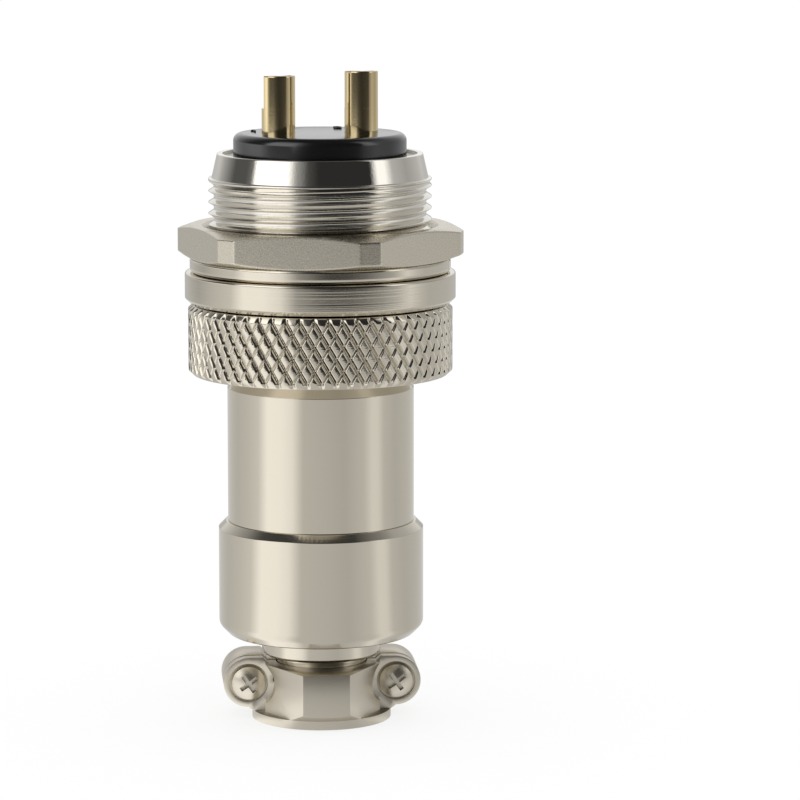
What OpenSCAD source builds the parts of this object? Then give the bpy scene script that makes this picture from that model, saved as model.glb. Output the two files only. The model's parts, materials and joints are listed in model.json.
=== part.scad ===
// Two-pin circular connector: a cable plug screwed into a panel receptacle.
// Millimetres. +Z runs up the connector's axis, from the cable end to the solder cups.
// The origin is the centre of the face it stands on, and X runs along the line of the two pins.

/* [Screw thread] */
// Major diameter of the thread on both ends of the receptacle
thread_d = 20; // [19:0.1:21]
// Pitch of that thread, which also sets its depth and lead chamfers
thread_pitch = 1; // [0.75:0.05:1.25]
// Radial clearance between a threaded shell and its nut
thread_gap = 0.05; // [0.03:0.01:0.09]

/* [Receptacle shell] */
// How far the flange stands out past the coupling nut
flange_over = 0.275; // [0:0.025:0.6]
// Thickness of the flange
flange_h = 2.7; // [2:0.1:4]
// Chamfer on the flange's front edge
flange_chamfer = 0.4; // [0.2:0.05:0.6]
// Gap between the front skirt and the lip of the coupling nut
skirt_gap = 0.25; // [0.15:0.05:0.6]
// Wall of the front skirt, from its bore to the crests
skirt_wall = 1.35; // [1.2:0.05:1.45]
// Length of the rear thread above the flange
rear_thread_len = 8.4; // [7.6:0.1:10]
// Height of the plain band above the rear thread
band_h = 2.2; // [1.6:0.1:3]
// How far the foot of that band lies inside the crests
band_step = 0.3; // [0:0.05:0.5]
// How far the band tapers in towards the rear rim
band_taper = 0.5; // [0.2:0.05:0.6]
// Wall of the rear thread, from its bore to the crests
rear_wall = 1.3; // [1.25:0.05:1.4]
// Thickness of the inner shoulder
shoulder_h = 1; // [0.7:0.1:1.4]
// Width of the inner shoulder
shoulder_w = 0.75; // [0.55:0.05:0.95]
// Radius of the half-round key inside the skirt
key_r = 0.9; // [0.7:0.05:1]

/* [Receptacle inside] */
// Width of the step on the insulator that the retaining ring bears on
insulator_step = 0.95; // [0.8:0.05:1.1]
// How far the insulator stands above the rim
insulator_proud = 1.8; // [1.2:0.1:2.6]
// Radius of its rounded rear edge
insulator_round = 0.7; // [0.3:0.1:1]
// Thickness of the retaining ring
retaining_ring_h = 0.65; // [0.5:0.05:0.8]
// Depth of the ring's groove in the shell
ring_groove = 0.15; // [0.1:0.01:0.18]
// Distance from the axis of a pin to the side of the insulator
pin_margin = 4.05; // [3.6:0.05:4.4]
// Diameter of the pins and of their solder cups
pin_d = 3; // [2.6:0.1:3.2]
// How far the pins reach below the insulator's front face
pin_reach = 5.3; // [4.5:0.1:5.5]
// Height of the first pin's solder cup
cup_1_h = 5.1; // [4.2:0.1:6]
// Height of the second pin's solder cup
cup_2_h = 5.5; // [4.2:0.1:6]
// Diameter of the hole in a solder cup
cup_hole_d = 2.2; // [1.8:0.1:2.3]
// Height of the closed foot of a solder cup
cup_foot_h = 2.2; // [1.6:0.1:3]
// Turn of the first cup's open side about its own axis
cup_1_turn = 20; // [-45:1:45]
// Turn of the second cup's open side about its own axis
cup_2_turn = -2; // [-45:1:45]

/* [Panel nut and washer] */
// How much wider the panel nut is across its flats than the thread
nut_over = 3.2; // [2.6:0.1:4.4]
// How much wider it is across its cut corners than across its flats
nut_corner_over = 2.5; // [1.8:0.1:2.8]
// Thickness of the panel nut
nut_h = 2.95; // [2.4:0.05:4]
// Turn of the panel nut about the axis
nut_turn = -13.5; // [-30:0.1:30]
// Width of the lock washer's ring
washer_ring_w = 1.4; // [1:0.1:1.8]
// How much wider the lock washer's bore is than the thread
washer_play = 0.6; // [0.6:0.1:1]
// Thickness of the lock washer
washer_h = 1.25; // [0.8:0.05:1.6]
// Width of the slit in the lock washer
washer_slit = 0.6; // [0.3:0.1:1]

/* [Coupling nut] */
// Thickness of the coupling nut, from the crests of the thread to its knurl
coupling_wall = 1.875; // [1.6:0.025:2.1]
// Length of the coupling nut
coupling_h = 6.3; // [6:0.1:6.6]
// Height of the chamfer at each end of the knurl
knurl_chamfer = 0.4; // [0.2:0.05:0.6]
// Number of knurl grooves each way
knurl_starts = 58; // [40:1:70]
// Rows of diamonds, counted in half diamonds
knurl_rows = 5; // [3:1:7]
// Depth of the knurl grooves
knurl_depth = 0.36; // [0.2:0.02:0.45]
// Share of the groove pitch that the groove's slope takes on each side
knurl_slope = 0.17; // [0.1:0.01:0.3]
// Thickness of the lip that holds the nut on the plug
lip_h = 0.8; // [0.6:0.05:1]
// Gap between the coupling nut and the flange
flange_gap = 0.2; // [0.1:0.05:0.4]

/* [Plug] */
// How far the barrel stands out past the neck that the coupling nut turns on
neck_step = 1.1; // [1:0.05:1.3]
// Axial play of the coupling nut's lip
lip_play = 0.05; // [0.03:0.01:0.1]
// Wall round the mouth of the front shell
mouth_wall = 1.15; // [1.05:0.05:1.4]
// How far the spigot inside the sleeve lies inside the neck
spigot_step = 0.3; // [0.2:0.05:0.45]
// Wall of the spigot
spigot_wall = 0.75; // [0.7:0.05:1]
// Length of that spigot
spigot_len = 4.9; // [4:0.1:6]
// How far the sleeve stands out past the spigot
sleeve_over = 1.2; // [1:0.05:1.3]
// Length of the sleeve's plain part
sleeve_len = 12.1; // [10:0.1:15]
// Height of the cone at the sleeve's top
sleeve_cone_h = 1.2; // [0.8:0.1:1.6]
// How far the sleeve's foot inside the tail lies inside the sleeve
sleeve_foot_step = 0.5; // [0.4:0.05:0.65]
// Length of that foot
sleeve_foot_len = 3.8; // [3:0.1:5]
// Diameter of the plug contacts
socket_d = 4.2; // [4:0.1:4.4]
// Depth of the hole in a plug contact
socket_depth = 5.5; // [5.5:0.1:6.5]
// Length of the solder cups on the plug contacts
plug_cup_len = 4.8; // [4:0.1:5.4]
// Thickness of the snap ring on the plug insulator
snap_ring_h = 0.6; // [0.4:0.05:0.7]
// Diameter of the set screw in the sleeve
set_screw_d = 2; // [1.6:0.1:2.2]

/* [Tail] */
// How far the tail sleeve stands out past the sleeve
tail_over = 0.85; // [0.7:0.05:1]
// Length of the tail sleeve
tail_len = 10.4; // [9:0.1:13]
// Size of the chamfer at its top
tail_chamfer = 0.65; // [0.4:0.05:0.8]
// Size of the chamfer at its bottom
tail_foot_chamfer = 0.9; // [0.5:0.05:1.2]
// How far the wiring room's wall lies inside the sleeve's foot
room_step = 0.5; // [0.2:0.05:0.9]
// Height of the wiring room's floor above the tail's underside
floor_h = 2.2; // [1.6:0.1:3]
// Diameter of the collar under the tail
collar_d = 10.8; // [10.4:0.1:11.4]
// Height of the collar with its fine groove
collar_h = 1.9; // [1.4:0.1:2.4]
// Diameter of the neck that the clamp turns on
tail_neck_d = 8.2; // [8:0.1:8.4]
// Diameter of the lip under that neck
tail_lip_d = 9.2; // [9:0.1:9.4]
// Bore for the cable through the tail
cable_bore_d = 6.8; // [6:0.1:7]

/* [Cable clamp] */
// Height of the clamp
clamp_h = 5.2; // [5:0.1:6]
// Gap between the clamp's top and the collar
clamp_gap = 0.7; // [0.4:0.1:1]
// Turn of the clamp about the axis
clamp_turn = 0; // [-30:0.5:30]
// Distance from the axis to the clamp's front flat
clamp_front = 7.3; // [7:0.1:7.8]
// Half width of that flat
clamp_flat = 2.1; // [1.8:0.1:2.4]
// Half width of the clamp's body at the ears
clamp_half_w = 5.2; // [5:0.1:5.5]
// Diameter of the round rim at the clamp's foot
clamp_rim_d = 12.6; // [12:0.1:13.2]
// Height of that rim
clamp_rim_h = 0.8; // [0.6:0.1:1.2]
// Gap between the two halves of the clamp
parting_gap = 0.3; // [0.2:0.05:0.6]
// Thickness of the front half's ears
front_ear_t = 1.2; // [1:0.1:1.6]
// Thickness of the back half's ears
back_ear_t = 4; // [3:0.1:4.5]
// Radius of the ears
ear_r = 2.25; // [2:0.05:2.5]
// Height of the screws above the clamp's foot
screw_z = 3.4; // [3.2:0.1:3.6]
// How far the axes of the clamp screws lie inside the side of the tail sleeve
screw_inset = 2.55; // [2:0.05:2.6]
// Diameter of the clamp screws
screw_d = 2; // [1.8:0.1:2.2]
// Diameter of their heads
head_d = 3; // [2.6:0.1:3.2]
// Height of their heads
head_h = 1.1; // [0.8:0.1:1.4]
// Bore of the clamp's jaws for the cable
jaw_bore_d = 7.2; // [6.6:0.1:7.4]

/* [Hidden] */
$fn = 96;

// Clearances: a shaft that turns, a piece that is seated, and a loose pair of faces
run_gap = 0.05;
seat_gap = 0.03;
loose_gap = 0.3;
snap_groove = 0.55;                        // depth of the groove that holds the snap ring
past = 1;                                  // how far a cutting solid runs past what it cuts

// Diameters, each from the one that it sits on
knurl_d = thread_d + 2 * coupling_wall;
flange_d = knurl_d + 2 * flange_over;
nut_af = thread_d + nut_over;
nut_corners = nut_af + nut_corner_over;
washer_bore_d = thread_d + washer_play;
washer_d = washer_bore_d + 2 * washer_ring_w;
skirt_bore_d = thread_d - 2 * skirt_wall;
rear_bore_d = thread_d - 2 * rear_wall;
shoulder_bore_d = rear_bore_d - 2 * shoulder_w;
insulator_d = rear_bore_d - 2 * insulator_step;
band_foot_d = thread_d - 2 * band_step;
rim_d = band_foot_d - 2 * band_taper;
barrel_r = skirt_bore_d / 2 - run_gap;
mouth_bore_d = 2 * (barrel_r - mouth_wall);
neck_d = 2 * (barrel_r - neck_step);
spigot_d = neck_d - 2 * spigot_step;
sleeve_d = spigot_d + 2 * sleeve_over;
sleeve_foot_d = sleeve_d - 2 * sleeve_foot_step;
tail_d = sleeve_d + 2 * tail_over;
room_d = sleeve_foot_d - 2 * room_step;
pin_spacing = insulator_d - 2 * pin_margin;
screw_x = tail_d / 2 - screw_inset;
skirt_len = coupling_h + flange_gap - lip_h - skirt_gap;
far = 2 * nut_af;                          // longer than anything it has to cut

// Heights of the stack, from the foot of the clamp to the tops of the cups
z_collar = clamp_h + clamp_gap;
z_tail = z_collar + collar_h;
z_tail_top = z_tail + tail_len;
z_cone = z_tail_top + sleeve_len;
z_neck = z_cone + sleeve_cone_h;
z_nut_foot = z_neck + lip_play;
z_lip_top = z_nut_foot + lip_h;
z_barrel = z_lip_top + lip_play;
z_nut_top = z_nut_foot + coupling_h;
z_flange = z_nut_top + flange_gap;
z_flange_top = z_flange + flange_h;
z_washer_top = z_flange_top + washer_h;
z_panel_nut_top = z_washer_top + nut_h;
z_thread_top = z_flange_top + rear_thread_len;
z_rim = z_thread_top + band_h;
z_insulator_top = z_rim + insulator_proud;
z_skirt = z_flange - skirt_len;

// Receptacle, inside
z_shoulder = z_flange + 1.3;               // underside of the shoulder the insulator seats on
z_shoulder_top = z_shoulder + shoulder_h;
z_face = z_shoulder - 0.2;                 // front face of the receptacle's insulator
boss_r = shoulder_bore_d / 2 - seat_gap;
body_r = rear_bore_d / 2 - seat_gap;
z_ring = z_rim - 0.3 - retaining_ring_h;   // the ring lies just under the rim
ring_r = rear_bore_d / 2 + ring_groove;
pin_collar_r = pin_d / 2 + 0.6;
pin_collar_h = 2;
cup_well = 1.6;                            // depth of a cup's hole below its open side
z_pin_collar = (z_shoulder_top + z_ring) / 2;

// Plug, inside
z_barrel_top = z_face - loose_gap;
z_mouth = z_barrel + 0.95;                 // seat of the insulator's head
z_spigot = z_neck - spigot_len;
front_bore_r = spigot_d / 2 - spigot_wall;
insert_r = front_bore_r - seat_gap;
insert_head_r = mouth_bore_d / 2 - seat_gap;
snap_groove_r = insert_r - snap_groove;
z_insert = z_spigot - snap_ring_h - 0.8;
z_socket = z_barrel_top - 0.2;
sleeve_bore_r = spigot_d / 2 + seat_gap;
keyway_w = 2 * (key_r + loose_gap);

// Clamp
neck_r = tail_neck_d / 2;
z_neck_groove = clamp_h - 0.6;             // foot of the groove round the tail's neck
z_tail_lip = z_neck_groove - 1;
clamp_axial_gap = 0.1;
swivel_gap = 0.08;
counterbore = 0.3;
spot_r = ear_r + 0.05;
screw_len = front_ear_t + parting_gap + back_ear_t - 0.8;
slit = 0.4;
edge = 0.25;                               // small chamfers and roundings on turned edges

module at_pin(side) { translate([side * pin_spacing / 2, 0, 0]) children(); }

// A ring of rectangular section
module ring(r_out, r_in, z0, z1) {
  rotate_extrude() translate([r_in, z0]) square([r_out - r_in, z1 - z0]);
}

// ---------- receptacle ----------

// A fine thread's section between two heights, as one flat-bottomed 60-degree groove per pitch.
// The grooves are rings, which stand in for the helix at this size.
function thread_grooves(r, z0, z1) =
  let (count = floor((z1 - z0) / thread_pitch), half_root = thread_pitch / 8,
       half_mouth = 7 * thread_pitch / 16, depth = (half_mouth - half_root) / tan(30),
       first = (z0 + z1 - (count - 1) * thread_pitch) / 2)
  [for (i = [0 : count - 1]) let (z = first + i * thread_pitch) each [
    [r, z - half_mouth], [r - depth, z - half_root], [r - depth, z + half_root],
    [r, z + half_mouth]
  ]];

module shell_profile() {
  r = thread_d / 2;
  lead = 0.55 * thread_pitch;
  polygon([
    [skirt_bore_d / 2, z_skirt + edge], [skirt_bore_d / 2 + edge, z_skirt],
    [r - lead, z_skirt], [r, z_skirt + lead],
    each thread_grooves(r, z_skirt + lead, z_flange), [r, z_flange],
    [flange_d / 2 - flange_chamfer, z_flange], [flange_d / 2, z_flange + flange_chamfer],
    [flange_d / 2, z_flange_top - edge], [flange_d / 2 - edge, z_flange_top],
    [r, z_flange_top], each thread_grooves(r, z_flange_top, z_thread_top),
    [r, z_thread_top], [band_foot_d / 2, z_thread_top],
    [rim_d / 2, z_rim - edge / 2], [rim_d / 2 - edge / 2, z_rim],
    [rear_bore_d / 2, z_rim],
    [rear_bore_d / 2, z_ring + retaining_ring_h], [ring_r, z_ring + retaining_ring_h],
    [ring_r, z_ring], [rear_bore_d / 2, z_ring],
    [rear_bore_d / 2, z_shoulder_top], [shoulder_bore_d / 2, z_shoulder_top],
    [shoulder_bore_d / 2, z_shoulder], [skirt_bore_d / 2, z_shoulder]
  ]);
}

module receptacle_shell() {
  color("silver") {
    rotate_extrude() shell_profile();
    // the key: a half-round rib on the skirt's wall
    intersection() {
      translate([0, skirt_bore_d / 2, z_skirt + 0.8])
        cylinder(r = key_r, h = z_shoulder - z_skirt - 0.4);
      cylinder(r = (thread_d + skirt_bore_d) / 4, h = z_rim);
    }
  }
}

module insulator_profile() {
  r = insulator_d / 2;
  difference() {
    polygon([
      [0, z_face], [boss_r, z_face], [boss_r, z_shoulder_top],
      [body_r, z_shoulder_top], [body_r, z_ring], [r, z_ring],
      [r, z_insulator_top], [0, z_insulator_top]
    ]);
    // rounded rear edge
    translate([r - insulator_round, z_insulator_top - insulator_round])
      difference() {
        square(insulator_round + past);
        circle(r = insulator_round, $fn = 48);
      }
  }
}

module receptacle_insulator() {
  color("#15161a") difference() {
    rotate_extrude() insulator_profile();
    for (side = [-1, 1]) at_pin(side) pin_room();
  }
}

module pin_room() {
  translate([0, 0, z_face - past])
    cylinder(r = pin_d / 2 + seat_gap, h = z_insulator_top - z_face + 2 * past);
  translate([0, 0, z_pin_collar - pin_collar_h / 2 - seat_gap])
    cylinder(r = pin_collar_r + seat_gap, h = pin_collar_h + 2 * seat_gap);
}

module retaining_ring() {
  color("gainsboro") difference() {
    ring(ring_r - seat_gap, insulator_d / 2 + seat_gap, z_ring, z_ring + retaining_ring_h);
    // the ends of the ring
    translate([-1.5, 0, z_ring - past]) cube([3, thread_d, retaining_ring_h + 2 * past]);
  }
}

// What a solder cup takes out of a rod that ends at z = h: a hole that starts above z = 0,
// and all of the side towards +Y above the closed foot
module cup_cut(h) {
  translate([0, 0, cup_foot_h - cup_well]) cylinder(r = cup_hole_d / 2, h = h);
  translate([-pin_d, 0.15, cup_foot_h]) cube([2 * pin_d, pin_d, h]);
}

module contact_pin(side, cup_h, turn) {
  r = pin_d / 2;
  z_tip = z_face - pin_reach;
  color("#d9bd7a") at_pin(side) {
    difference() {
      union() {
        translate([0, 0, z_tip + r]) sphere(r = r);
        translate([0, 0, z_tip + r]) cylinder(r = r, h = z_insulator_top + cup_h - z_tip - r);
        translate([0, 0, z_pin_collar - pin_collar_h / 2])
          cylinder(r = pin_collar_r, h = pin_collar_h);
      }
      // spring slit across the nose
      translate([-slit / 2, -pin_d, z_tip - past]) cube([slit, 2 * pin_d, past + 0.6 * pin_reach]);
      translate([0, 0, z_insulator_top]) rotate([0, 0, turn]) cup_cut(cup_h);
    }
  }
}

module contact_pin_1() { contact_pin(-1, cup_1_h, cup_1_turn); }
module contact_pin_2() { contact_pin(1, cup_2_h, cup_2_turn); }

// ---------- panel nut and washer ----------

module lock_washer() {
  color("silver") difference() {
    ring(washer_d / 2, washer_bore_d / 2, z_flange_top, z_washer_top);
    // the slanted slit
    rotate([0, 0, -12.5]) translate([0, 0, (z_flange_top + z_washer_top) / 2])
      rotate([25, 0, 0]) translate([washer_bore_d / 4, -washer_slit / 2, -2 * washer_h])
        cube([washer_d, washer_slit, 4 * washer_h]);
  }
}

module panel_nut() {
  bevel = 0.48;                            // height of the bevel over the cut corners
  run = 1.4;                               // its reach inwards from them
  color("lightgray") difference() {
    intersection() {
      translate([0, 0, z_washer_top]) rotate([0, 0, nut_turn])
        cylinder(r = nut_af / 2 / cos(30), h = nut_h, $fn = 6);
      translate([0, 0, z_washer_top - past]) rotate([0, 0, nut_turn + 30])
        cylinder(r = nut_corners / 2 / cos(30), h = nut_h + 2 * past, $fn = 6);
      rotate_extrude() polygon([
        [0, z_washer_top], [nut_corners / 2 + 0.1 - run, z_washer_top],
        [nut_corners / 2 + 0.1, z_washer_top + bevel],
        [nut_corners / 2 + 0.1, z_panel_nut_top - bevel],
        [nut_corners / 2 + 0.1 - run, z_panel_nut_top], [0, z_panel_nut_top]
      ]);
    }
    translate([0, 0, z_washer_top - past])
      cylinder(r = thread_d / 2 + thread_gap, h = nut_h + 2 * past);
    for (end = [0, 1]) translate([0, 0, z_washer_top + end * nut_h]) mirror([0, 0, end])
      translate([0, 0, -past]) cylinder(r1 = thread_d / 2 + 0.6 + past, r2 = thread_d / 2 - 0.4,
        h = past + 1);
  }
}

// ---------- coupling nut ----------

// Diamond knurl. Grooves of two opposite helices lie at the whole values of a and b, where
// a - b grows by one over each half diamond of height and a + b by two over one groove pitch.
knurl_steps = [0, knurl_slope, 1 - knurl_slope];
knurl_z0 = z_nut_foot + knurl_chamfer;
knurl_z1 = z_nut_top - knurl_chamfer;
half_diamond = (knurl_z1 - knurl_z0) / knurl_rows;

// Point of the knurl at (a, b), on the land or in a groove
function knurl_point(a, b) =
  let (
    in_a = min(a - floor(a), ceil(a) - a), in_b = min(b - floor(b), ceil(b) - b),
    rise = min(1, min(in_a, in_b) / knurl_slope),
    turn = 180 * (a + b) / knurl_starts,
    r = knurl_d / 2 - knurl_depth * (1 - rise)
  ) [r * cos(turn), r * sin(turn), knurl_z0 + (a - b) * half_diamond];

// The value of a or b at step number n
function knurl_at(n) = floor(n / 3) + knurl_steps[n - 3 * floor(n / 3)];

// Two triangles of the grid square whose low corner is step (i, j), split along the groove side
function knurl_square(i, j) =
  let (
    p = knurl_point(knurl_at(i), knurl_at(j)), q = knurl_point(knurl_at(i + 1), knurl_at(j)),
    s = knurl_point(knurl_at(i), knurl_at(j + 1)),
    t = knurl_point(knurl_at(i + 1), knurl_at(j + 1))
  ) [p, q, s, t];

module coupling_nut() {
  n = 3 * knurl_starts;
  rows = 3 * knurl_rows;
  // vertex rows: step k above the foot row, n vertices round, at steps (m + k, m) of (a, b)
  points = [
    for (k = [0:rows]) for (m = [0:n - 1]) knurl_point(knurl_at(m + k), knurl_at(m))
  ];
  end_r = knurl_d / 2 - knurl_chamfer;
  turns = [for (m = [0:n - 1]) 180 * (2 * knurl_at(m)) / knurl_starts];
  top_turns = [for (m = [0:n - 1]) 180 * (knurl_at(m + rows) + knurl_at(m)) / knurl_starts];
  foot = [for (m = [0:n - 1]) [end_r * cos(turns[m]), end_r * sin(turns[m]), z_nut_foot]];
  top = [for (m = [0:n - 1]) [end_r * cos(top_turns[m]), end_r * sin(top_turns[m]), z_nut_top]];
  all_points = concat(points, foot, top);
  foot_at = len(points);
  top_at = foot_at + n;
  function id(k, m) = k * n + (m + n) % n;
  side = [
    for (k = [0:rows - 1]) for (m = [0:n - 1])
      for (tri = [[id(k, m), id(k, m + 1), id(k + 1, m)],
                  [id(k, m + 1), id(k + 1, m + 1), id(k + 1, m)]]) tri
  ];
  foot_side = [
    for (m = [0:n - 1]) for (tri = [[foot_at + m, foot_at + (m + 1) % n, id(0, m)],
                                    [foot_at + (m + 1) % n, id(0, m + 1), id(0, m)]]) tri
  ];
  top_side = [
    for (m = [0:n - 1]) for (tri = [[id(rows, m), id(rows, m + 1), top_at + m],
                                    [id(rows, m + 1), top_at + (m + 1) % n, top_at + m]]) tri
  ];
  foot_cap = [[for (m = [n - 1:-1:0]) foot_at + m]];
  top_cap = [[for (m = [0:n - 1]) top_at + m]];
  color("silver") difference() {
    polyhedron(all_points, concat(side, foot_side, top_side, foot_cap, top_cap), convexity = 4);
    translate([0, 0, z_lip_top]) cylinder(r = thread_d / 2 + thread_gap, h = coupling_h);
    translate([0, 0, z_nut_foot - past]) cylinder(r = neck_d / 2 + swivel_gap, h = coupling_h);
  }
}

// ---------- plug ----------

module plug_front_shell() {
  color("silver") difference() {
    rotate_extrude() polygon([
      [front_bore_r, z_spigot], [spigot_d / 2, z_spigot], [spigot_d / 2, z_neck],
      [neck_d / 2, z_neck], [neck_d / 2, z_barrel], [barrel_r, z_barrel],
      [barrel_r, z_barrel_top - edge], [barrel_r - edge, z_barrel_top],
      [mouth_bore_d / 2, z_barrel_top], [mouth_bore_d / 2, z_mouth], [front_bore_r, z_mouth]
    ]);
    // keyway for the receptacle's key
    translate([-keyway_w / 2, mouth_bore_d / 2 - 0.4, z_barrel + 0.65])
      cube([keyway_w, thread_d, skirt_len + flange_h]);
  }
}

module plug_insulator() {
  color("#15161a") difference() {
    rotate_extrude() polygon([
      [0, z_insert], [insert_r, z_insert], [insert_r, z_spigot - snap_ring_h],
      [snap_groove_r, z_spigot - snap_ring_h], [snap_groove_r, z_spigot],
      [insert_r, z_spigot], [insert_r, z_mouth], [insert_head_r, z_mouth],
      [insert_head_r, z_barrel_top - edge], [insert_head_r - edge, z_barrel_top],
      [0, z_barrel_top]
    ]);
    for (side = [-1, 1]) at_pin(side) translate([0, 0, z_insert - past]) {
      cylinder(r = pin_d / 2 + seat_gap, h = coupling_h + spigot_len);
      translate([0, 0, past + 2]) cylinder(r = socket_d / 2 + seat_gap, h = 4 * coupling_h);
    }
  }
}

module snap_ring() {
  color("gainsboro") difference() {
    ring(front_bore_r + snap_groove, snap_groove_r + seat_gap, z_spigot - snap_ring_h, z_spigot);
    translate([-1.2, 0, z_spigot - 2 * snap_ring_h]) cube([2.4, thread_d, 3 * snap_ring_h]);
  }
}

module contact_socket(side) {
  bore_r = pin_d / 2 + run_gap;
  color("#d9bd7a") at_pin(side) difference() {
    union() {
      translate([0, 0, z_insert + 2 + seat_gap])
        cylinder(r = socket_d / 2, h = z_socket - z_insert - 2 - seat_gap);
      translate([0, 0, z_insert - plug_cup_len])
        cylinder(r = pin_d / 2, h = plug_cup_len + 2 + past);
    }
    translate([0, 0, z_insert]) mirror([0, 0, 1]) cup_cut(plug_cup_len);
    translate([0, 0, z_socket - socket_depth]) cylinder(r = bore_r, h = 2 * socket_depth);
    // spring slits down the sides of the hole
    translate([-slit / 2, -socket_d, z_socket - 0.7 * socket_depth])
      cube([slit, 2 * socket_d, socket_depth]);
  }
}

module contact_socket_1() { contact_socket(-1); }
module contact_socket_2() { contact_socket(1); }

module plug_sleeve() {
  r = sleeve_d / 2;
  z_foot = z_tail_top - sleeve_foot_len;
  color("silver") difference() {
    rotate_extrude() polygon([
      [sleeve_bore_r, z_foot], [sleeve_foot_d / 2, z_foot], [sleeve_foot_d / 2, z_tail_top],
      [r, z_tail_top], [r, z_cone], [neck_d / 2 + seat_gap, z_neck], [sleeve_bore_r, z_neck]
    ]);
    set_screw_place() cylinder(r = set_screw_d / 2 + seat_gap, h = sleeve_d);
  }
}

// The set screw lies along Y at the back, half way up the spigot that it holds
module set_screw_place() {
  translate([0, 0, (z_spigot + z_cone) / 2]) rotate([-90, 0, 0]) children();
}

module set_screw() {
  r_in = spigot_d / 2 + seat_gap;
  color("dimgray") set_screw_place() difference() {
    translate([0, 0, r_in]) cylinder(r = set_screw_d / 2, h = sleeve_d / 2 - edge - r_in);
    translate([-slit / 2, -set_screw_d, sleeve_d / 2 - 2.5 * edge])
      cube([slit, 2 * set_screw_d, sleeve_d]);
  }
}

module tail_sleeve() {
  r = tail_d / 2;
  foot_bore = sleeve_foot_d / 2 + seat_gap;
  z_foot = z_tail_top - sleeve_foot_len - seat_gap;
  groove = 0.2;                            // the fine groove over the collar
  color("silver") rotate_extrude() polygon([
    [cable_bore_d / 2, z_tail_lip], [tail_lip_d / 2, z_tail_lip],
    [tail_lip_d / 2, z_neck_groove], [neck_r, z_neck_groove], [neck_r, z_collar],
    [collar_d / 2 - edge, z_collar], [collar_d / 2, z_collar + edge],
    [collar_d / 2, z_tail - groove], [collar_d / 2 - groove, z_tail - groove],
    [collar_d / 2 - groove, z_tail], [r - tail_foot_chamfer, z_tail],
    [r, z_tail + tail_foot_chamfer], [r, z_tail_top - tail_chamfer],
    [r - tail_chamfer, z_tail_top], [foot_bore, z_tail_top], [foot_bore, z_foot],
    [room_d / 2, z_foot], [room_d / 2, z_tail + floor_h], [cable_bore_d / 2, z_tail + floor_h]
  ]);
}

// ---------- cable clamp ----------
// The clamp is drawn with its front towards -Y and then turned about the axis

module clamp_place() { rotate([0, 0, clamp_turn]) children(); }

module at_screw(side) {
  translate([side * screw_x, 0, screw_z]) rotate([90, 0, 0]) children();
}

// Both halves as one block, before they are parted and bored
module clamp_block() {
  rim_r = clamp_rim_d / 2;
  intersection() {
    translate([0, 0, clamp_rim_h]) linear_extrude(clamp_h - clamp_rim_h) polygon([
      for (back = [0, 1]) for (p = [
        [-clamp_half_w, -1.9], [-clamp_flat, -clamp_front],
        [clamp_flat, -clamp_front], [clamp_half_w, -1.9]
      ]) back ? -p : p
    ]);
    rotate_extrude() polygon([
      [0, 0], [rim_r, 0], [rim_r, clamp_rim_h], [clamp_front + 0.5, clamp_rim_h + 0.9],
      [clamp_front + 0.5, clamp_h], [0, clamp_h]
    ]);
  }
  cylinder(r = rim_r, h = clamp_rim_h);
}

// An ear plate of thickness t, which starts at distance y0 in front of the parting plane
module clamp_ear(side, y0, t) {
  root_x = clamp_half_w - loose_gap;       // where its web ends inside the body
  at_screw(side) translate([0, 0, y0]) cylinder(r = ear_r, h = t);
  translate([0, -y0, 0]) rotate([90, 0, 0]) linear_extrude(t) polygon([
    [side * screw_x, screw_z - ear_r], [side * (clamp_half_w + 0.5), clamp_rim_h / 2],
    [side * root_x, clamp_rim_h / 2], [side * root_x, clamp_h],
    [side * (root_x + 0.5), screw_z + ear_r], [side * screw_x, screw_z + ear_r]
  ]);
}

// What the tail's lip and the cable take out of the clamp
module clamp_inside() {
  translate([0, 0, -past]) cylinder(r = jaw_bore_d / 2, h = clamp_h);
  translate([0, 0, z_tail_lip - clamp_axial_gap])
    cylinder(r = tail_lip_d / 2 + swivel_gap, h = 1 + 2 * clamp_axial_gap);
  translate([0, 0, z_tail_lip]) cylinder(r = neck_r + swivel_gap, h = clamp_h);
}

module clamp_front_half() {
  front = parting_gap / 2;
  color("lightgray") clamp_place() difference() {
    union() {
      intersection() {
        clamp_block();
        translate([-far, -front - far, -past]) cube([2 * far, far, clamp_h + 2 * past]);
      }
      for (side = [-1, 1]) clamp_ear(side, front, front_ear_t);
    }
    clamp_inside();
    for (side = [-1, 1]) {
      at_screw(side) translate([0, 0, front + front_ear_t]) cylinder(r = spot_r, h = far);
      at_screw(side) translate([0, 0, front + front_ear_t - counterbore])
        cylinder(r = head_d / 2 + 0.25, h = far);
      at_screw(side) translate([0, 0, -past]) cylinder(r = screw_d / 2 + swivel_gap, h = far);
    }
  }
}

module clamp_back_half() {
  back = parting_gap / 2;
  color("lightgray") clamp_place() difference() {
    union() {
      intersection() {
        clamp_block();
        translate([-far, back, -past]) cube([2 * far, far, clamp_h + 2 * past]);
      }
      for (side = [-1, 1]) clamp_ear(side, -back - back_ear_t, back_ear_t);
    }
    clamp_inside();
    for (side = [-1, 1]) {
      at_screw(side) translate([0, 0, -back - back_ear_t - far]) cylinder(r = spot_r, h = far);
      at_screw(side) translate([0, 0, -back - back_ear_t - past])
        cylinder(r = screw_d / 2 + run_gap, h = back_ear_t + 2 * past);
    }
  }
}

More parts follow.
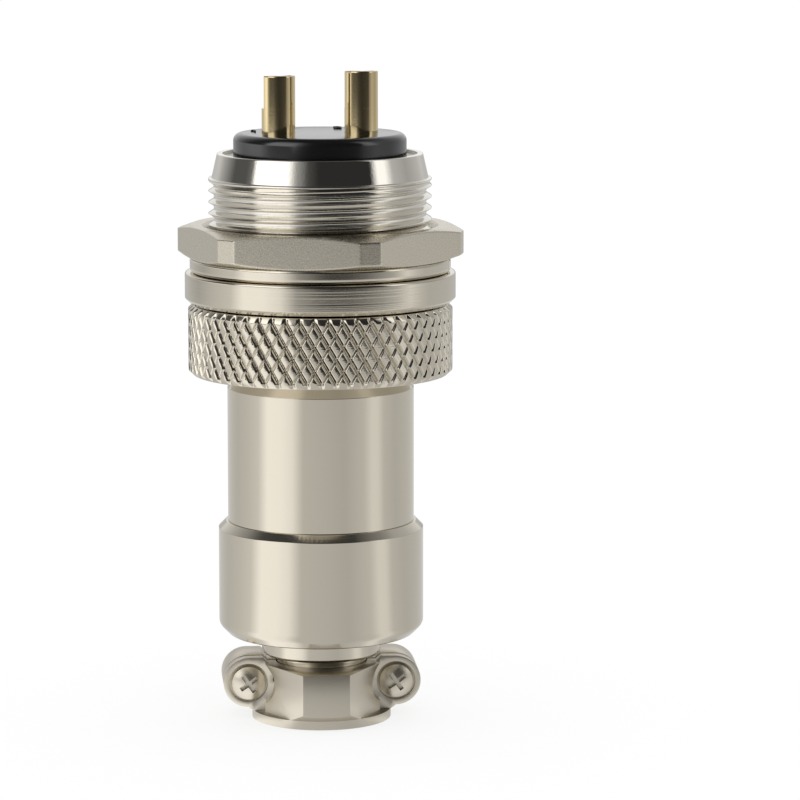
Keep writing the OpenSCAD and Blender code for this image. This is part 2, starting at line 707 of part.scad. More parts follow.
// A pan head screw with a cross recess, its seat at z = 0 and its shank towards -Z
module pan_screw() {
  dome = head_d * 0.75;
  difference() {
    union() {
      translate([0, 0, -screw_len]) cylinder(r = screw_d / 2, h = screw_len);
      intersection() {
        cylinder(r = head_d / 2, h = head_h);
        translate([0, 0, head_h - dome]) sphere(r = dome);
      }
    }
    for (turn = [0, 90]) rotate([0, 0, turn + 35])
      translate([-0.3 * head_d, -0.2, head_h - 0.6]) cube([0.6 * head_d, 0.4, head_h]);
  }
}

module clamp_screw(side) {
  color("gainsboro") clamp_place() at_screw(side)
    translate([0, 0, parting_gap / 2 + front_ear_t - counterbore]) pan_screw();
}

module clamp_screw_left() { clamp_screw(-1); }
module clamp_screw_right() { clamp_screw(1); }

receptacle_shell();
receptacle_insulator();
retaining_ring();
contact_pin_1();
contact_pin_2();
lock_washer();
panel_nut();
coupling_nut();
plug_front_shell();
plug_insulator();
snap_ring();
contact_socket_1();
contact_socket_2();
plug_sleeve();
set_screw();
tail_sleeve();
clamp_back_half();
clamp_front_half();
clamp_screw_left();
clamp_screw_right();
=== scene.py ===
"""Looks of a two-pin circular connector: a cable plug screwed into a panel receptacle.

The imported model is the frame. Turned parts get fine profiles with broken edges, true threads and a
crisp knurl; every part gets the finish of the real one. All sizes here are in millimetres.
"""

import json
import math

import bmesh
import bpy
import numpy as np
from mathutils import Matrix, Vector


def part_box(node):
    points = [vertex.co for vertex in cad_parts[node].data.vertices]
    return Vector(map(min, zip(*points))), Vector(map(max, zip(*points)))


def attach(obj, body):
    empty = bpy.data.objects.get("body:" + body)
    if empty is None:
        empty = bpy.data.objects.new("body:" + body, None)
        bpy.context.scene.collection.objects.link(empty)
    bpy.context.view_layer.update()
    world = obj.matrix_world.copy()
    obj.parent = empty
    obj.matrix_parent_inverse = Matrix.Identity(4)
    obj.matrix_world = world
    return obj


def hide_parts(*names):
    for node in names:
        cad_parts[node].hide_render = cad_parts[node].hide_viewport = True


bl_info = {
    "name": "Circular connector looks",
    "version": (1, 0, 0),
    "blender": (4, 5, 0),
    "location": "View3D > Sidebar > Connector",
    "description": "Finishes the connector's parts and sets the studio round them",
    "category": "Object",
}

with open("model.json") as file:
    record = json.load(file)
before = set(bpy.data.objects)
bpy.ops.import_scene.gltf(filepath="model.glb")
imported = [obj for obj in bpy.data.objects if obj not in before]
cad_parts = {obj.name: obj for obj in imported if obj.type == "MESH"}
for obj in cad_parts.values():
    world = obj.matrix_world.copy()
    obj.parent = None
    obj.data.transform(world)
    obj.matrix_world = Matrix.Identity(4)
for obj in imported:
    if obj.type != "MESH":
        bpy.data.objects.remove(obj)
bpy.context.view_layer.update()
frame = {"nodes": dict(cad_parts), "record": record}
MM = 0.001
TURN = 2 * math.pi
COINCIDE = 2e-4         # points of a welded piece closer than this are one
CLEAR = 0.05            # between the bore of a nut and the crests of the receptacle's thread


# ---------- measures from the frame ----------

def span(node):
    """Radius, foot and top of a round CAD node, in millimetres."""
    low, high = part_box(node)
    return (high.x - low.x) / 2 / MM, low.z / MM, high.z / MM


SHELL_R, Z_SKIRT, Z_RIM = span("receptacle_shell")
WASHER_R, Z_FLANGE_TOP, Z_WASHER_TOP = span("lock_washer")
NUT_FOOT, NUT_TOP = span("panel_nut")[1:]
KNURL_R, Z_COUPLING, Z_COUPLING_TOP = span("coupling_nut")
SLEEVE_R, Z_SLEEVE_FOOT, Z_NECK = span("plug_sleeve")
TAIL_R, Z_TAIL_LIP, Z_TAIL_TOP = span("tail_sleeve")
Z_INSULATOR = span("receptacle_insulator")[2]
SLOTS = {row["node"]: row["material_slot"] for row in frame["record"]["subparts"]}


# ---------- settings ----------

def length(name, default, text):
    """A float property for a size in millimetres."""
    return bpy.props.FloatProperty(name=name, default=default, description=text, min=0.01,
                                   unit="NONE")


def colour(name, value, text):
    """A string property that holds an sRGB hex colour."""
    return bpy.props.StringProperty(name=name, default=value, description=text)


class ConnectorThread(bpy.types.PropertyGroup):
    """The fine thread of the receptacle."""
    major: length("Major diameter", 20.0, "Diameter over the crests, in millimetres")
    pitch: length("Pitch", 1.0, "Distance from crest to crest, in millimetres")
    depth: length("Depth", 0.5, "Height of a crest over the root, in millimetres")


class ConnectorKnurl(bpy.types.PropertyGroup):
    """The diamond knurl of the coupling nut."""
    starts: bpy.props.IntProperty(name="Grooves each way", default=58, min=20,
                                  description="Number of grooves of each helix")
    rows: bpy.props.IntProperty(name="Half diamonds", default=5, min=1,
                                description="Rows of half diamonds from end to end")
    depth: length("Depth", 0.36, "Depth of the grooves, in millimetres")
    slope: bpy.props.FloatProperty(name="Slope share", default=0.11, min=0.02, max=0.18,
                                   description="Share of the pitch that a groove's side takes")


class ConnectorFinish(bpy.types.PropertyGroup):
    """Colours of the finishes, as sRGB hex values."""
    fresh: colour("Fresh nickel", "#E3DFD6", "Thick nickel on the receptacle's threads and rim")
    nickel: colour("Nickel", "#D4CDBE", "Bright nickel plate on turned brass")
    satin: colour("Satin nickel", "#D4CDBE", "Nickel plate on the panel nut and the clamp")
    gold: colour("Gold", "#E6D2A4", "Thin pale gold plate on the contacts")
    black: colour("Black plastic", "#0C0C0E", "Moulded insulator")
    steel: colour("Spring steel", "#A9A8A4", "Retaining ring, snap ring and set screw")


class ConnectorStage(bpy.types.PropertyGroup):
    """Camera and light."""
    distance: length("Camera distance", 353.0, "From the axis to the lens, in millimetres")
    height: length("Camera height", 80.7, "Above the floor, in millimetres")
    side: length("Camera offset", 7.15, "How far the camera stands to the right, in millimetres")
    azimuth: bpy.props.FloatProperty(name="Azimuth", default=-4.7, unit="NONE",
                                     description="Turn of the camera round the axis, in degrees")
    pitch: bpy.props.FloatProperty(name="Pitch", default=8.33, unit="NONE",
                                   description="How far the camera looks down, in degrees")
    lens: length("Lens", 178.1, "Focal length on a 36 mm sensor, in millimetres")


# ---------- meshes ----------

def fillet(before, corner, after, radius, steps=5):
    """Points of a rounded corner: an arc tangent to both sides, and a point just before and after
    it, which keep the long faces flat under smooth shading. With unit vectors u and v along the
    sides, the arc starts at corner + t u and ends at corner + t v, t = radius / tan(half angle)."""
    u, v = before - corner, after - corner
    reach = min(np.hypot(*u), np.hypot(*v))
    u, v = u / np.hypot(*u), v / np.hypot(*v)
    half = math.acos(np.clip(u @ v, -1, 1)) / 2
    if radius <= 0 or half > 1.54:
        return [corner]
    t = min(radius / math.tan(half), 0.42 * reach)
    s = np.linspace(0, 1, steps)[:, None]
    # a quadratic curve from one tangent point to the other, very close to the arc
    curve = corner + t * ((1 - s) ** 2 * u + s ** 2 * v)
    return [corner + 1.12 * t * u, *curve, corner + 1.12 * t * v]


def outline(corners, closed=True):
    """Corners (r, z, radius) as a dense line with its corners rounded."""
    p = np.array([c[:2] for c in corners], float)
    n = len(p)
    points = []
    for i, c in enumerate(corners):
        if not closed and i in (0, n - 1):
            points.append(p[i])
            continue
        points += fillet(p[i - 1], p[i], p[(i + 1) % n], c[2] if len(c) > 2 else 0)
    return np.array(points)


def dense(line, z0, z1, step):
    """The line with extra points, step apart, on its parts that run along Z between z0 and z1."""
    out = []
    for a, b in zip(line, np.roll(line, -1, 0)):
        inside = min(a[1], b[1]) >= z0 - 1e-6 and max(a[1], b[1]) <= z1 + 1e-6
        count = max(1, round(abs(b[1] - a[1]) / step)) if inside else 1
        out.append(a + (b - a) * np.linspace(0, 1, count, endpoint=False)[:, None])
    return np.concatenate(out)


def revolve(line, angles, bend=None):
    """Grid of points (r cos t, r sin t, z) for each (r, z) of the line and each angle t.
    bend(r, z, t) may change the radius."""
    r, z = line[:, 0][:, None], line[:, 1][:, None]
    t = np.asarray(angles)[None, :]
    if bend is not None:
        r = bend(r + 0 * t, z + 0 * t, t + 0 * r)
    return np.stack([r * np.cos(t), r * np.sin(t), z + 0 * t], -1)


def grid_faces(rows, columns, wrap_rows, wrap_columns):
    """Quads of a grid of points, joined end to start where it wraps."""
    i = np.arange(rows if wrap_rows else rows - 1)[:, None]
    j = np.arange(columns if wrap_columns else columns - 1)[None, :]
    k, m = (i + 1) % rows, (j + 1) % columns
    quads = np.stack([i * columns + j, k * columns + j, k * columns + m, i * columns + m], -1)
    return quads.reshape(-1, 4)


def build(name, parts, weld=False):
    """One mesh object from parts, each (points, faces). A part that is inside out, by the sign of
    the sum of p0 . (p1 x p2) over its triangles, is turned round. Points that coincide become
    one where weld is set."""
    points, faces, start = [], [], 0
    for p, f in parts:
        p = np.asarray(p, float).reshape(-1, 3)
        f = [np.asarray(x) for x in (f if isinstance(f, list) else [f])]
        volume = sum(
            np.einsum("ij,ij->", p[x[:, 0]], np.cross(p[x[:, k]], p[x[:, k + 1]]))
            for x in f for k in range(1, x.shape[1] - 1)
        )
        faces += [(x[:, ::-1] if volume < 0 else x) + start for x in f]
        points.append(p)
        start += len(p)
    mesh = bpy.data.meshes.new(name)
    mesh.from_pydata(np.concatenate(points) * MM, [], [q for x in faces for q in x.tolist()])
    if weld:
        cage = bmesh.new()
        cage.from_mesh(mesh)
        bmesh.ops.remove_doubles(cage, verts=cage.verts, dist=COINCIDE * MM)
        cage.to_mesh(mesh)
        cage.free()
    mesh.polygons.foreach_set("use_smooth", np.ones(len(mesh.polygons), bool))
    mesh.update()
    piece = bpy.data.objects.new(name, mesh)
    bpy.context.scene.collection.objects.link(piece)
    return piece


def ring_part(line, columns):
    """A closed line turned about Z: a ring with a hole."""
    grid = revolve(line, np.arange(columns) * TURN / columns)
    return grid, grid_faces(*grid.shape[:2], True, True)


def capped(sections, ends):
    """Closed sections in a row, sections[i, j] being point j of section i, closed by a fan round
    an end point before the first and one after the last."""
    rows, columns = sections.shape[:2]
    points = np.concatenate([sections.reshape(-1, 3), ends])
    j = np.arange(columns)
    m = (j + 1) % columns
    low = np.stack([j, m, 0 * j + rows * columns], -1)
    last = (rows - 1) * columns
    high = np.stack([last + m, last + j, 0 * j + rows * columns + 1], -1)
    return points, [grid_faces(rows, columns, False, True), low, high]


def rod_part(line, columns):
    """A line from axis to axis turned about Z: a solid without a hole."""
    sections = revolve(line[1:-1], np.arange(columns) * TURN / columns)
    return capped(sections, [(0, 0, line[0, 1]), (0, 0, line[-1, 1])])


def loft_part(sections):
    """Closed sections in a row, with a flat cap round the middle of the first and the last."""
    return capped(sections, sections[[0, -1]].mean(1))


def body_of(node):
    """The body that a CAD node belongs to."""
    bodies = frame["record"]["behaviour"]["bodies"]
    return next(body for body, nodes in bodies.items() if node in nodes)


def dress(piece, node, material):
    """The piece stands for a CAD node, rides on its body and takes a finish."""
    piece.data.materials.append(material)
    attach(piece, body_of(node))
    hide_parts(node)


def second_finish(piece, material, radius):
    """Another finish for the faces that lie further than radius from the axis."""
    piece.data.materials.append(material)
    centres = np.empty(3 * len(piece.data.polygons))
    piece.data.polygons.foreach_get("center", centres)
    x, y = centres.reshape(-1, 3).T[:2] / MM
    piece.data.polygons.foreach_set("material_index", (np.hypot(x, y) > radius).astype(int))


# ---------- finishes ----------

def srgb(value):
    """An sRGB hex colour as linear red, green, blue and alpha."""
    parts = [int(value[i:i + 2], 16) / 255 for i in (1, 3, 5)]
    return [p / 12.92 if p <= 0.04045 else ((p + 0.055) / 1.055) ** 2.4 for p in parts] + [1.0]


def add(tree, kind, settings=None, links=None):
    """A new node with its settings and links: a key that names an input socket sets or links
    it, stops fills a colour ramp with (position, gray level), and any other key sets the node's
    property."""
    made = tree.nodes.new(kind)
    for key, value in (settings or {}).items():
        if key == "stops":
            elements = made.color_ramp.elements
            for _ in value[2:]:
                elements.new(0.5)
            for element, (position, level) in zip(elements, value):
                element.position, element.color = position, (level, level, level, 1.0)
        elif isinstance(key, int) or key in made.inputs:
            made.inputs[key].default_value = value
        else:
            setattr(made, key, value)
    for key, source in (links or {}).items():
        tree.links.new(source, made.inputs[key])
    return made


def shader(name, settings):
    """A new material, its node tree and its Principled shader with constant settings."""
    material = bpy.data.materials.new(name)
    material.use_nodes = True
    tree = material.node_tree
    tree.nodes.clear()
    made = add(tree, "ShaderNodeBsdfPrincipled", settings)
    add(tree, "ShaderNodeOutputMaterial", links={"Surface": made.outputs["BSDF"]})
    return material, tree, made


def lathe_lines(tree, spacing):
    """Fine turned lines, spacing in millimetres: noise on (r, z) only, so that it makes rings
    round the axis on walls and on end faces alike."""
    where = add(tree, "ShaderNodeTexCoord").outputs["Object"]
    parts = add(tree, "ShaderNodeSeparateXYZ", links={0: where}).outputs
    flat = add(tree, "ShaderNodeCombineXYZ", links={0: parts[0], 1: parts[1]})
    r = add(tree, "ShaderNodeVectorMath", {"operation": "LENGTH"}, {0: flat.outputs[0]})
    rings = add(tree, "ShaderNodeCombineXYZ", links={0: r.outputs["Value"], 1: parts[2]})
    return add(tree, "ShaderNodeTexNoise",
               {"Scale": 1 / (spacing * MM), "Detail": 2.0, "Roughness": 0.6},
               {"Vector": rings.outputs[0]}).outputs["Fac"]


def grain(tree, size, detail=3.0, roughness=0.5):
    """Noise on Object coordinates whose grains are about size millimetres wide."""
    where = add(tree, "ShaderNodeTexCoord").outputs["Object"]
    return add(tree, "ShaderNodeTexNoise",
               {"Scale": 1 / (size * MM), "Detail": detail, "Roughness": roughness},
               {"Vector": where}).outputs["Fac"]


def emboss(tree, skin, pattern, depth, strength):
    """Lets a pattern tilt the surface, as if it stood up by depth millimetres."""
    relief = add(tree, "ShaderNodeBump", {"Strength": strength, "Distance": depth * MM},
                 {"Height": pattern})
    tree.links.new(relief.outputs[0], skin.inputs["Normal"])


def bright_nickel(finish):
    """Nickel electroplated on turned brass: a warm mirror in which faint rings from the lathe
    stretch the highlights along the axis."""
    material, tree, skin = shader("bright_nickel_on_turned_brass", {
        "Base Color": srgb(finish.nickel), "Metallic": 1.0, "Roughness": 0.1})
    emboss(tree, skin, lathe_lines(tree, 0.25), depth=0.003, strength=0.3)
    return material


def fresh_nickel(finish):
    """Thick, unworn nickel on the receptacle's threads and rim: a neutral mirror whose plate has
    settled in fine pits, so that the edges of reflections break up into grain."""
    material, tree, skin = shader("fresh_nickel_on_turned_brass", {
        "Base Color": srgb(finish.fresh), "Metallic": 1.0, "Roughness": 0.045})
    emboss(tree, skin, grain(tree, 0.22, roughness=0.65), depth=0.008, strength=0.5)
    return material


def turned_nickel(finish):
    """The same plate over the coarser feed lines of a turned blank: bright and dark streaks
    round the flange and on the tops of the knurl."""
    material, tree, skin = shader("bright_nickel_on_coarse_turned_brass", {
        "Base Color": srgb(finish.nickel), "Metallic": 1.0, "Roughness": 0.1})
    emboss(tree, skin, lathe_lines(tree, 0.2), depth=0.012, strength=0.6)
    return material


def satin_nickel(finish):
    """Nickel plate over a sawn and tumbled surface: a soft sheen that sparkles a little, because
    each grain of about 0.15 mm is tilted and polished its own way."""
    material, tree, skin = shader("satin_nickel_on_sawn_brass", {
        "Base Color": srgb(finish.satin), "Metallic": 1.0, "Roughness": 0.3})
    grains = grain(tree, 0.16, roughness=0.65)
    spread = add(tree, "ShaderNodeMapRange", {"To Min": 0.2, "To Max": 0.36}, {"Value": grains})
    tree.links.new(spread.outputs[0], skin.inputs["Roughness"])
    emboss(tree, skin, grains, depth=0.02, strength=0.35)
    return material


def cast_nickel(finish):
    """Nickel plate over die-cast zinc: smooth and soft, with faint waves left by the die."""
    material, tree, skin = shader("satin_nickel_on_die_cast_zinc", {
        "Base Color": srgb(finish.satin), "Metallic": 1.0, "Roughness": 0.36})
    emboss(tree, skin, grain(tree, 0.45), depth=0.02, strength=0.3)
    return material


def gold_flash(finish):
    """A thin gold flash over nickel on turned brass: pale, mirror bright, with faint rings."""
    material, tree, skin = shader("gold_flash_on_turned_brass", {
        "Base Color": srgb(finish.gold), "Metallic": 1.0, "Roughness": 0.09})
    emboss(tree, skin, lathe_lines(tree, 0.2), depth=0.003, strength=0.3)
    return material


def black_moulding(finish):
    """Glass-filled thermoset, compression moulded: black and glossy, slightly uneven."""
    material, tree, skin = shader("black_moulded_thermoset", {
        "Base Color": srgb(finish.black), "Roughness": 0.17, "IOR": 1.6,
        "Specular IOR Level": 0.7})
    emboss(tree, skin, grain(tree, 0.9, detail=2.0), depth=0.01, strength=0.15)
    return material


def spring_steel(finish):
    """Bare spring steel, blanked and tumbled: gray, with a dull sheen."""
    material, tree, skin = shader("tumbled_spring_steel", {
        "Base Color": srgb(finish.steel), "Metallic": 1.0, "Roughness": 0.3})
    emboss(tree, skin, grain(tree, 0.2), depth=0.01, strength=0.2)
    return material


FINISHES = {
    "nickel_plate": bright_nickel,
    "nickel_lines": turned_nickel,
    "nickel_satin": satin_nickel,
    "nickel_fresh": fresh_nickel,
    "nickel_cast": cast_nickel,
    "gold_plate": gold_flash,
    "black_plastic": black_moulding,
    "spring_steel": spring_steel,
}


def finish_of(context, slot):
    """The material of a record slot, made when it is first asked for."""
    made = context.scene.get("connector_" + slot)
    if made is None:
        made = FINISHES[slot](context.scene.connector_finish)
        context.scene["connector_" + slot] = made
    return made


# ---------- pieces ----------

# The form of a thread of 60 degrees over half a pitch, from the middle of the root to the crest:
# share of the pitch, and height as a share of the depth
HALF_PITCH = (0, 0.06, 0.11, 0.145, 0.18, 0.225, 0.32, 0.4, 0.44, 0.475, 0.5)
HALF_RISE = (0, 0, 0, 0.025, 0.1, 0.24, 0.52, 0.77, 0.9, 0.975, 1)


def thread_cut(thread, s, z, z0, z1):
    """How far the thread lies below its crest, s pitches along it: depth * (1 - rise), which
    runs out to nothing at both ends."""
    run_out = 0.6
    rise = np.interp(0.5 - np.abs(s % 1.0 - 0.5), HALF_PITCH, HALF_RISE)
    return thread.depth * (1 - rise) * np.clip(np.minimum(z - z0, z1 - z) / run_out, 0, 1)


def thread_bend(thread, z0, z1):
    """A bend that cuts a right-hand thread between z0 and z1: s = z / pitch - t / turn."""
    def bend(r, z, t):
        cut = thread_cut(thread, z / thread.pitch - t / TURN, z, z0, z1)
        outer = np.abs(r - thread.major / 2) < 0.02     # the wall on the crest, not its fillets
        return np.where(outer & (z > z0) & (z < z1), r - cut, r)
    return bend


def thread_grid(thread, z0, z1, angles):
    """The same thread as a grid whose rows climb with the helix, so that each keeps its place in
    the form: z = pitch * (s + t / turn), held between z0 and z1."""
    half = np.array(HALF_PITCH)
    form = np.concatenate([half, 1 - half[-2:0:-1]])
    pitches = np.arange(math.floor(z0 / thread.pitch) - 1, math.ceil(z1 / thread.pitch) + 1)
    s = (pitches[:, None] + form).reshape(-1, 1)
    t = angles[None, :]
    z = np.clip(thread.pitch * (s + t / TURN), z0, z1)
    r = thread.major / 2 - thread_cut(thread, s + 0 * z, z, z0, z1)
    return np.stack([r * np.cos(t), r * np.sin(t), z], -1)


class CONNECTOR_OT_receptacle_shell(bpy.types.Operator):
    """Turn the receptacle's shell with its two threads, and add the key inside its skirt"""
    bl_idname = "connector.receptacle_shell"
    bl_label = "Receptacle shell"

    def execute(self, context):
        thread = context.scene.connector_thread
        major = thread.major / 2
        skirt_r, stop_r, seat_r, groove_r = 8.65, 7.95, 8.7, 8.85   # bores, from below
        lead, bevel = 0.5, 0.4                                      # of the skirt and the flange
        step, taper = 0.3, 0.5                                      # of the band over the thread
        z_flange = Z_FLANGE_TOP - 2.7
        z_stop = z_flange + 1.3
        z_seat = z_stop + 1
        z_ring, z_ring_top = Z_RIM - 0.95, Z_RIM - 0.3
        z_band = Z_RIM - 2.2
        corners = [
            (skirt_r, Z_SKIRT, 0.2), (major - lead, Z_SKIRT, 0.1), (major, Z_SKIRT + lead, 0.05),
            (major, z_flange, 0.03), (SHELL_R - bevel, z_flange, 0.06),
            (SHELL_R, z_flange + bevel, 0.06), (SHELL_R, Z_FLANGE_TOP, 0.22),
            (major, Z_FLANGE_TOP, 0.03), (major, z_band, 0.1),
            (major - step, z_band + 0.02, 0.05), (major - step - taper, Z_RIM, 0.12),
            (seat_r, Z_RIM, 0.05), (seat_r, z_ring_top, 0.02),
            (groove_r, z_ring_top, 0.02), (groove_r, z_ring, 0.02), (seat_r, z_ring, 0.02),
            (seat_r, z_seat, 0.02), (stop_r, z_seat, 0.05), (stop_r, z_stop, 0.05),
            (skirt_r, z_stop, 0.05),
        ]
        line = dense(outline(corners), Z_SKIRT + lead, z_flange, 0.08)
        # the closed line opens at its longest climb along the thread's crest, for the helix
        climb = (np.roll(line[:, 1], -1) - line[:, 1]) * (np.abs(line[:, 0] - major) < 1e-6)
        line = np.roll(line, -1 - int(np.argmax(climb)), 0)
        angles = np.linspace(0, TURN, 181)
        grid = np.concatenate([
            thread_grid(thread, line[-1, 1], line[0, 1], angles),
            revolve(line, angles, thread_bend(thread, Z_SKIRT + 0.2, z_flange))])
        turned = (grid, grid_faces(*grid.shape[:2], True, False))
        # the key: half an ellipse wide and high towards the axis, and a flatter one in the wall
        key_w, key_h, sunk = 1.8, 1.2, 0.24
        around = np.linspace(0, TURN, 32, endpoint=False)
        rise = np.sin(around) * np.where(np.sin(around) < 0, key_h, sunk)
        key = np.stack(np.broadcast_arrays(
            key_w / 2 * np.cos(around), skirt_r + 0.3 + rise,
            np.array([Z_SKIRT + 0.8, z_stop])[:, None]), -1)
        piece = build("receptacle_shell_threaded", [turned, loft_part(key)], weld=True)
        dress(piece, "receptacle_shell", finish_of(context, "nickel_fresh"))
        # the flange keeps coarser feed lines than the threads and the rim
        second_finish(piece, finish_of(context, "nickel_lines"), major + 0.05)
        return {"FINISHED"}


PIN_R, CUP_R = 1.5, 1.1         # a contact, and the hole of its solder cup


def cup_parts(centre, z0, z_hole, z_foot, z_top, turn):
    """Parts of a contact whose upper end is a solder cup: up to z_foot a rod with a blind hole,
    above it a half pipe whose open side faces +Y, turned by turn. The pipe's section runs out
    along the outer arc and back along the inner one, and near the top it draws in towards the
    middle of the wall."""
    body = outline([
        (0, z0), (PIN_R - 0.3, z0, 0.3), (PIN_R, z0 + 0.4, 0.3), (PIN_R, z0 + 0.8),
        (PIN_R, z_foot - 0.012), (PIN_R, z_foot, 0.002), (CUP_R, z_foot, 0.03),
        (CUP_R, z_hole, 0.1), (0, z_hole)], closed=False)
    rod, faces = rod_part(body, 64)
    start = math.asin(0.15 / PIN_R)
    outer = np.array([(PIN_R - 0.06, start), (PIN_R - 0.03, start + 0.005), (PIN_R, start + 0.03)])
    inner = np.array([(CUP_R + 0.06, start + 0.03), (CUP_R + 0.02, start + 0.05),
                      (CUP_R, start + 0.1)])
    arc = np.linspace(start + 0.05, math.pi - start - 0.05, 40)

    def mirrored(edge):
        """The same points (r, t) at the other end of the arc, in the order of the loop."""
        return np.stack([edge[:, 0], math.pi - edge[:, 1]], -1)[::-1]

    loop = np.concatenate([
        outer, np.stack([0 * arc + PIN_R, arc], -1), mirrored(outer),
        mirrored(inner), np.stack([0 * arc + CUP_R, arc[::-1]], -1)[2:-2], inner[::-1]])
    heights = np.concatenate([
        [z_foot, z_foot + 0.012], z_top - np.array([0.15, 0.09, 0.05, 0.015, 0])])[:, None]
    shrink = np.array([0, 0, 0, 0, 0.005, 0.02, 0.05])[:, None]
    middle, half_wall = (PIN_R + CUP_R) / 2, (PIN_R - CUP_R) / 2
    r = loop[:, 0] + (middle - loop[:, 0]) * shrink / half_wall
    t = turn - loop[:, 1] + 0 * r
    pipe, pipe_faces = loft_part(np.stack([r * np.cos(t), r * np.sin(t), heights + 0 * r], -1))
    offset = np.array([centre, 0, 0])
    return [(rod + offset, faces), (pipe + offset, pipe_faces)]


class CONNECTOR_OT_contact_pins(bpy.types.Operator):
    """Turn the two contact pins with their rounded noses and solder cups"""
    bl_idname = "connector.contact_pins"
    bl_label = "Contact pins"

    def execute(self, context):
        closed_foot, well = 2.2, 1.6
        z_foot = Z_INSULATOR + closed_foot
        for name, turn in (("contact_pin_1", 20), ("contact_pin_2", -2)):
            low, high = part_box(name)
            centre = (low.x + high.x) / 2 / MM
            parts = cup_parts(centre, low.z / MM, z_foot - well, z_foot, high.z / MM,
                              math.radians(turn))
            piece = build(name + "_turned", parts)
            dress(piece, name, finish_of(context, "gold_plate"))
        return {"FINISHED"}


def stroke_part(path, width, z0, z1):
    """A raised stroke: a bar with broken top edges carried along a path in a level plane."""
    path = np.array(path)
    along = np.gradient(path, axis=0)
    along /= np.linalg.norm(along, axis=1)[:, None]
    across = np.stack([-along[:, 1], along[:, 0]], -1)
    side, edge = width / 2, 0.03
    section = np.array([(-side, z0), (side, z0), (side, z1 - edge), (side - edge, z1),
                        (edge - side, z1), (-side, z1 - edge)])
    level = path[:, None, :] + across[:, None, :] * section[None, :, :1]
    height = section[None, :, 1:] + 0 * level[:, :, :1]
    return loft_part(np.concatenate([level, height], -1))


class CONNECTOR_OT_contact_numbers(bpy.types.Operator):
    """Raise the contact numbers 1 and 2 on the insulator beside their pins"""
    bl_idname = "connector.contact_numbers"
    bl_label = "Contact numbers"

    def execute(self, context):
        t = np.radians(np.linspace(165, -35, 12))
        bow = np.stack([0.3 * np.cos(t), 0.28 + 0.3 * np.sin(t)], -1)
        strokes = {
            "contact_number_1": (-5.75, 1.4, [[(0, -0.6), (0, 0.6)], [(0, 0.5), (-0.3, 0.3)]]),
            "contact_number_2": (1.9, 4.9, [np.concatenate([bow, [(-0.25, -0.5)]]),
                                            [(-0.32, -0.52), (0.34, -0.52)]]),
        }
        width, sunk, height = 0.17, 0.05, 0.14
        slot = SLOTS["receptacle_insulator"]
        for name, (x, y, paths) in strokes.items():
            parts = [stroke_part(np.array(path) + (x, y), width, Z_INSULATOR - sunk,
                                 Z_INSULATOR + height) for path in paths]
            piece = build(name, parts)
            piece.data.materials.append(finish_of(context, slot))
            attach(piece, body_of("receptacle_insulator"))
        return {"FINISHED"}


class CONNECTOR_OT_lock_washer(bpy.types.Operator):
    """Roll the lock washer: a rounded flat section carried round the axis, with a slanted slit"""
    bl_idname = "connector.lock_washer"
    bl_label = "Lock washer"

    def execute(self, context):
        ring_w, slit_w, lean_arc = 1.4, 0.6, 0.25       # the last is in radians
        inner = WASHER_R - ring_w
        section = outline([
            (inner, Z_FLANGE_TOP, 0.1), (WASHER_R, Z_FLANGE_TOP, 0.42),
            (WASHER_R, Z_WASHER_TOP, 0.22), (inner, Z_WASHER_TOP, 0.1)])
        middle = (Z_FLANGE_TOP + Z_WASHER_TOP) / 2
        slit, at, slant = slit_w / WASHER_R, math.radians(-13.2), math.tan(math.radians(25))
        turns = np.linspace(slit / 2, TURN - slit / 2, 240)
        # near the slit each section leans, so that both ends are cut on the slant
        lean = slant * (section[:, 1] - middle) / section[:, 0]
        near = np.clip(1 - np.minimum(turns, TURN - turns) / lean_arc, 0, 1)
        t = at + turns[:, None] + lean * near[:, None]
        r, z = section.T[:, None] + 0 * t
        piece = build("lock_washer_rolled",
                      [loft_part(np.stack([r * np.cos(t), r * np.sin(t), z], -1))])
        dress(piece, "lock_washer", finish_of(context, "nickel_plate"))
        return {"FINISHED"}


